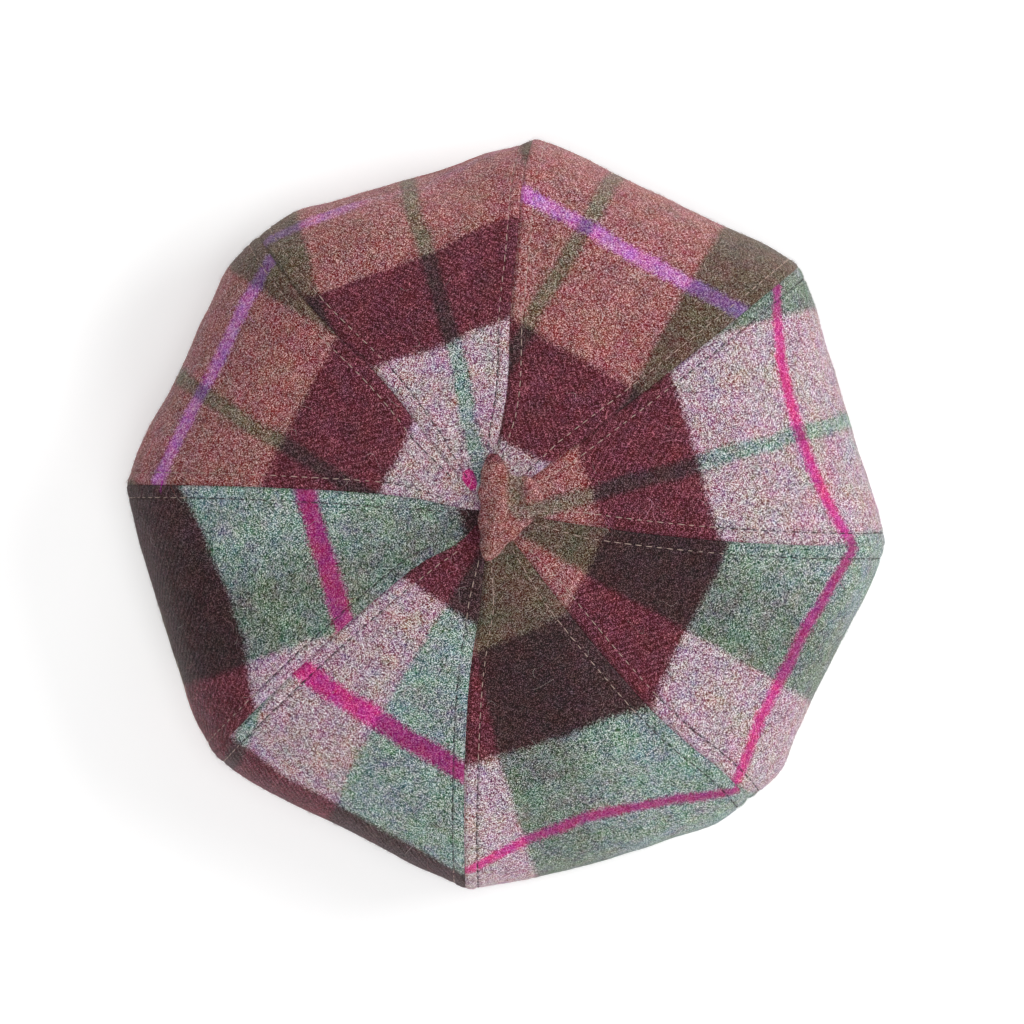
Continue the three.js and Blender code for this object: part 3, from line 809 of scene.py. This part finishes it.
# Crown panels
gores = [Gore(i) for i in range(GORE_COUNT)]
for gore in gores:
    name = f"crown_panel_{gore.i + 1}"
    panel = build_mesh(f"{name}_cloth", *panel_mesh(gore), HIGHLIGHT_TWEED if gore.i == LAST_GORE else TWEED)
    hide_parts(name)


def ribbons(name, places, lengths, width_range, lift_range, segments, curl, material):
    """Short flat fibres that lie and curl on a surface. places holds their roots, ways, ups and uvs."""
    roots, ways, ups, uvs = places
    count = len(roots)
    widths, lifts = rng.uniform(*width_range, count), rng.uniform(*lift_range, count)
    side = unit(np.cross(ups, ways))
    s = np.linspace(0, 1, segments + 1)[None, :, None]
    arc, wave = rng.normal(0, curl, (count, 1, 1)), rng.normal(0, curl * 0.6, (count, 1, 1))
    bend = arc * s * s + wave * np.sin(s * 5)
    line = roots[:, None, :] + ways[:, None, :] * (s * lengths[:, None, None])
    line = line + side[:, None, :] * (bend * lengths[:, None, None])
    line = line + ups[:, None, :] * (lifts[:, None, None] * np.sin(s * math.pi * 0.75))
    twist = rng.uniform(-1, 1, (count, 1, 1))
    flat = unit(side[:, None, :] + ups[:, None, :] * twist)
    width = widths[:, None, None] * (1 - 0.6 * s) / 2
    verts = np.stack([line - flat * width, line + flat * width], axis=2).reshape(-1, 3)
    per = (segments + 1) * 2
    k = (np.arange(count)[:, None] * per + np.arange(segments)[None, :] * 2).ravel()
    quads = np.stack([k, k + 1, k + 3, k + 2], axis=1)
    build_mesh(name, verts, quads, np.repeat(uvs, per, axis=0), material)


def scatter(surface, count):
    """Random places on a surface, evenly by area."""
    weights = surface.cell / surface.cell.sum()
    pick = rng.choice(weights.size, count, p=weights.ravel())
    r, c = np.unravel_index(pick, weights.shape)
    a, b = rng.random((2, count, 1))

    def blend(grid):
        near = grid[r, c] * (1 - a) + grid[r + 1, c] * a
        far = grid[r, c + 1] * (1 - a) + grid[r + 1, c + 1] * a
        return near * (1 - b) + far * b

    return blend(surface.p), unit(blend(surface.n)), blend(surface.uv)


def any_way(ups):
    """A random way along the surface at each place."""
    return unit(np.cross(ups, rng.normal(size=ups.shape)))


def scatter_over(surfaces, count):
    """Places on several surfaces, the same count on each."""
    sets = [scatter(surface, count) for surface in surfaces]
    roots, ups, uvs = (np.concatenate(parts) for parts in zip(*sets))
    return roots, any_way(ups), ups, uvs


NAP_ROOT = 0.1  # how deep the nap's fibres begin
NAP_WIDTH = (0.05, 0.1)
for gore in gores:
    roots, ways, ups, uvs = scatter_over([gore], NAP_COUNT)
    n = len(roots)
    lengths = rng.uniform(0.8, 2.6, n) + (rng.random(n) < 0.1) * rng.uniform(1, 3.5, n)
    places = (roots - ups * NAP_ROOT, ways, ups, uvs)
    cloth = HIGHLIGHT_NAP if gore.i == LAST_GORE else NAP
    ribbons(f"wool_nap_{gore.i + 1}", places, lengths, NAP_WIDTH, (0.15, 0.75), 3, 0.25, cloth)

# Longer fibres standing out of the nap, made paler than the cloth by painted light, and stray hairs
places = scatter_over(gores[:-1], LONG_NAP_COUNT)
ribbons("long_nap", places, rng.uniform(3, 8, len(places[0])), (0.08, 0.14), (0.3, 0.9), 8, 0.5,
        tweed("check_tweed_long_nap_painted_light", nap=True, painted_light=(2.1, 2.1, 2.1)))
places = scatter_over(gores, STRAY_COUNT)
ribbons("stray_fibres", places, rng.uniform(3, 9, len(places[0])), (0.07, 0.12), (0.3, 0.8), 12, 0.45, STRAY)


def stitches(centres, ways, ups, radius, length=2.7, rings=5, sides=6):
    """Small arched lengths of thread. Returns points and faces."""
    side = unit(np.cross(ways, ups))
    s = np.linspace(-1, 1, rings)[None, :, None]
    line = centres[:, None, :] + ways[:, None, :] * s * length / 2 + ups[:, None, :] * (0.22 - 0.5 * s * s)
    angle = np.linspace(0, TURN, sides, endpoint=False)[None, None, :, None]
    taper = (1 - 0.25 * s * s)[..., None]
    around = side[:, None, None, :] * np.cos(angle) + ups[:, None, None, :] * np.sin(angle)
    verts = (line[:, :, None, :] + around * radius * taper).reshape(-1, 3)
    last = (rings - 1) * sides
    quads = []
    for ring in range(0, last, sides):
        for a in range(sides):
            b = (a + 1) % sides
            quads.append([ring + b, ring + a, ring + sides + a, ring + sides + b])
    for a in range(1, sides - 2, 2):
        quads.append([0, a, a + 1, a + 2])
        quads.append([last + a + 2, last + a + 1, last + a, last])
    starts = np.arange(len(centres)) * rings * sides
    return verts, np.concatenate([starts[:, None] + np.array(quad) for quad in quads])


def sew(name, lines, material, radius=THREAD_RADIUS):
    """One piece from several lines of stitches, each with its centres, ways and ups."""
    verts, faces = stitches(*(np.concatenate(parts) for parts in zip(*lines)), radius)
    build_mesh(name, verts, faces, None, material)


def along_line(points, ups, v):
    """Where the stitches lie on a line of points: centres, ways, ups and places along the weft's repeat."""
    far = length_along(points)
    at = np.arange(1.0, far[-1], STITCH_PITCH)

    def pick(values, places):
        return np.stack([np.interp(places, far, values[:, j]) for j in range(3)], axis=1)

    way = unit(pick(points, at + 0.5) - pick(points, at - 0.5))
    return pick(points, at), way, unit(pick(ups, at)), np.interp(at, far, v)


lines, shaded_lines = [], []
for gore in gores:
    first = np.argmax(gore.half > STITCHED_FROM)
    for column in gore.stitch_columns:
        part = (slice(first, None), column)
        centres, ways, up, v = along_line(gore.p[part], gore.n[part], gore.v[part])
        sink = rng.uniform(-0.22, 0.12, len(centres))[:, None]
        swing = rng.normal(0, 0.05, len(centres))[:, None]
        ways = unit(ways + np.cross(ways, up) * swing)
        placed = (centres + up * (0.12 + sink), ways, up)
        # Stitches in the pale stripe take the darker thread, which is painted shade from the nap around them
        shaded = in_pale_stripe(v)
        lines.append([values[~shaded] for values in placed])
        shaded_lines.append([values[shaded] for values in placed])
sew("topstitching", lines, THREAD)
sew("topstitching_painted_shade", shaded_lines, SHADED_THREAD, SHADED_THREAD_RADIUS)

# Headband: cloth doubled over a fold at its lower edge, joined at the back
BAND_COLUMNS, BAND_ROWS = 289, 22
inner_r, outer_r = BAND_INNER, BAND_INNER + BAND_THICKNESS
middle_r = (inner_r + outer_r) / 2
fold = BAND_THICKNESS / 2
profile = [(outer_r, z) for z in np.linspace(BAND_HEIGHT - 0.8, fold, BAND_ROWS)]
for a in np.linspace(0, math.pi, 9)[1:-1]:
    profile.append((middle_r + fold * math.cos(a), fold - fold * math.sin(a)))
profile += [(inner_r, z) for z in np.linspace(fold, BAND_HEIGHT - 0.8, BAND_ROWS)]
profile += [(inner_r + 0.7, BAND_HEIGHT), (outer_r - 0.7, BAND_HEIGHT), profile[0]]
profile = np.array(profile)
band_turn = np.radians(BAND_BEARING + np.linspace(0, 360, BAND_COLUMNS))
turn, point = np.meshgrid(band_turn, np.arange(len(profile)), indexing="ij")
r, z = profile[point, 0], profile[point, 1]
stitch_dip = 0.3 * np.exp(-(((z - BAND_STITCH_HEIGHT) / 0.6) ** 2))
from_join = np.minimum(turn - turn[0, 0], turn[-1, 0] - turn)
wobble = 0.35 * noise(turn * inner_r / 30, z / 20 + 3, 71) * smooth(0.5, 6, z) * smooth(0, 0.25, from_join)
dip = np.where(r > middle_r, -stitch_dip - 0.15, stitch_dip + 0.15) * (0.35 + 0.65 * smooth(0, 2, z))
r = r + dip + wobble * 0.3
verts = np.stack([np.sin(turn) * r, np.cos(turn) * r, z], axis=-1).reshape(-1, 3)
band_uv = np.stack([turn * outer_r, 40 + length_along(profile)[point]], axis=-1).reshape(-1, 2)
band = build_mesh("headband_cloth", verts, grid_faces(*turn.shape, flip=True), band_uv, TWEED)
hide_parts("headband")
a = np.radians(np.arange(0, 360, math.degrees(STITCH_PITCH / outer_r)))
lines = []
for radius, sign in ((outer_r - 0.35, 1), (inner_r + 0.35, -1)):
    centres = np.stack([np.sin(a) * radius, np.cos(a) * radius, np.full_like(a, BAND_STITCH_HEIGHT)], axis=1)
    ways = np.stack([np.cos(a), -np.sin(a), a * 0], axis=1)
    ups = np.stack([np.sin(a), np.cos(a), a * 0], axis=1) * sign
    lines.append((centres, ways, ups))
sew("headband_stitching", lines, THREAD)


def button_reach(bearing):
    """How far out the button's rim lies at each bearing."""
    table = np.concatenate([BUTTON_RIM, BUTTON_RIM[:1] + [[360, 0]]])
    turn = (bearing - table[0, 0]) % 360 + table[0, 0]
    k = np.clip(np.searchsorted(table[:, 0], turn, side="right") - 1, 0, len(table) - 2)
    span = table[k + 1, 0] - table[k, 0]
    share = smooth(0, 1, (turn - table[k, 0]) / span)
    return (table[k, 1] + (table[k + 1, 1] - table[k, 1]) * share) * BUTTON_RADIUS


# Centre button
spokes, rings = 180, 44
bearing = np.linspace(0, 360, spokes, endpoint=False)
reach = button_reach(bearing)
reach = (np.roll(reach, 2) + np.roll(reach, -2) + np.roll(reach, 1) + np.roll(reach, -1) + reach) / 5
base_z = CROWN_HEIGHT + PIECE_GAP
centre = CROWN_SHIFT + BUTTON_SHIFT
angle = np.linspace(0, math.pi / 2, rings)
low = smooth(0, 1, np.arange(rings) / rings * 3)
spread = (0.8 + 0.2 * low) * np.maximum(np.cos(angle), 0) ** 0.56
turn, ring = np.meshgrid(np.radians(bearing), np.arange(rings), indexing="ij")
out = reach[:, None] * spread[ring]
up = np.sin(angle)[ring]
X, Y = np.sin(turn) * out, np.cos(turn) * out
height = BUTTON_HEIGHT * 0.86 * up
knob = 4.2 * np.exp(-(((X - 11.5) ** 2 + (Y - 5.4) ** 2) / 3.4 ** 2))
ridge = 1.1 * np.exp(-(((X + 2.5 - 0.12 * Y) / 4.5) ** 2)) * np.exp(-((Y / 17) ** 2))
folds = 0.35 * np.sin(9 * turn + 1.3) * np.sin(angle * 2)[ring] * (1 - up)
Z = base_z + height + (knob + ridge) * up ** 0.6 + 0.25 * noise(X / 5, Y / 5, 91) * up + folds
button_p = np.stack([X + centre[0], Y + centre[1], Z], axis=-1)
# The button's scrap of cloth is folded, so that a warp stripe runs down it and turns under the knob
corner_x, corner_y = X - 7.7, Y - 1.3
from_fold = np.hypot(np.minimum(corner_x, 0), np.minimum(corner_y, 0))
from_fold = from_fold - np.clip(np.minimum(corner_x, corner_y), 0, None)
button_uv = np.stack([3.06 - from_fold, Y - 17.0, X, Y - 17.0], axis=-1)
verts = np.concatenate([button_p.reshape(-1, 3), [[*centre, base_z]]])
uv = np.concatenate([button_uv.reshape(-1, 4), [[-10.0, -17.0, 0.0, -17.0]]])
faces = []
for start in range(0, spokes * rings, rings):
    after = (start + rings) % (spokes * rings)
    for r in range(rings - 2):
        faces.append([start + r, start + r + 1, after + r + 1, after + r])
    faces.append([start + rings - 2, start + rings - 1, after + rings - 2])
    faces.append([start, after, len(verts) - 1])
button = build_mesh("centre_button_cloth", verts, faces, uv, TWEED)
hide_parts("centre_button")


class ButtonFace:
    """The button's face, for fibres to grow on."""

    p = np.concatenate([button_p, button_p[:1]])[:, :rings - 2]
    uv = np.concatenate([button_uv, button_uv[:1]])[:, :rings - 2]
    n = unit(np.cross(np.gradient(p, axis=1), np.gradient(p, axis=0)))
    cell = cell_areas(p)


roots, ups, uvs = scatter(ButtonFace, BUTTON_NAP_COUNT)
ups = ups * np.sign(ups[:, 2:] + 1e-6)
places = (roots - ups * NAP_ROOT, any_way(ups), ups, uvs)
ribbons("wool_nap_button", places, rng.uniform(0.8, 3.0, len(roots)), NAP_WIDTH, (0.3, 1.0), 3, 0.3, NAP)

# Camera, straight above as in the photo, far enough to see the sides as the photo does
IMAGE_SIZE = 1024
PIXEL = 0.383 * MM  # one pixel of the photo on the plane that the camera is set for
ORIGIN_PIXEL = (505.5, 514)  # where the part's origin lies in the photo
PLANE = 0.031
DISTANCE = 4.0
SENSOR = 36.0
camera_data = bpy.data.cameras.new("camera")
camera_data.sensor_width = SENSOR
camera_data.lens = SENSOR * DISTANCE / (IMAGE_SIZE * PIXEL)
camera_data.clip_end = 100
camera = bpy.data.objects.new("camera", camera_data)
right, down = ORIGIN_PIXEL[0] - IMAGE_SIZE / 2, ORIGIN_PIXEL[1] - IMAGE_SIZE / 2
camera.location = (-right * PIXEL, down * PIXEL, PLANE + DISTANCE)
bpy.context.scene.collection.objects.link(camera)
bpy.context.scene.camera = camera

# Floor, just under the part, and light
FLOOR_REACH = 3.0
FLOOR_Z = -0.0004
floor_mesh = bpy.data.meshes.new("floor")
corners = [(x * FLOOR_REACH, y * FLOOR_REACH, FLOOR_Z) for x, y in ((-1, -1), (1, -1), (1, 1), (-1, 1))]
floor_mesh.from_pydata(corners, [], [(0, 1, 2, 3)])
floor = bpy.data.objects.new("floor", floor_mesh)
bpy.context.scene.collection.objects.link(floor)
k = Nodes("pale_floor")
grain = k.noise(k.add("ShaderNodeTexCoord").outputs["Object"], 30.0).outputs[0]
k.surface(k.mix(grain, (0.76, 0.76, 0.76, 1), (0.78, 0.78, 0.78, 1)), 0.9, {
    "Emission Color": (1, 1, 1, 1), "Emission Strength": 0.42,
})
floor_mesh.materials.append(k.mat)


def area_light(name, place, size, power):
    """A square lamp that points at the part."""
    data = bpy.data.lights.new(name, "AREA")
    data.shape = "SQUARE"
    data.size = size
    data.energy = power
    lamp = bpy.data.objects.new(name, data)
    lamp.location = place
    x, y, z = place
    lamp.rotation_euler = (math.atan2(math.hypot(x, y), z), 0, math.atan2(-y, -x) - math.pi / 2)
    bpy.context.scene.collection.objects.link(lamp)


area_light("key", (1.2, 0.4, 0.95), 0.8, 13)
area_light("south", (0.2, -1.3, 0.85), 0.9, 9)
area_light("north", (0.1, 1.4, 0.3), 0.9, 9.5)
area_light("top", (0.1, -0.2, 2.3), 1.0, 12)
world = bpy.data.worlds.new("world")
world.use_nodes = True
background = world.node_tree.nodes["Background"]
background.inputs["Color"].default_value = (1, 1, 1, 1)
background.inputs["Strength"].default_value = 0.25
bpy.context.scene.world = world
bpy.context.scene.view_settings.view_transform = "Standard"
bpy.context.scene.view_settings.look = "None"
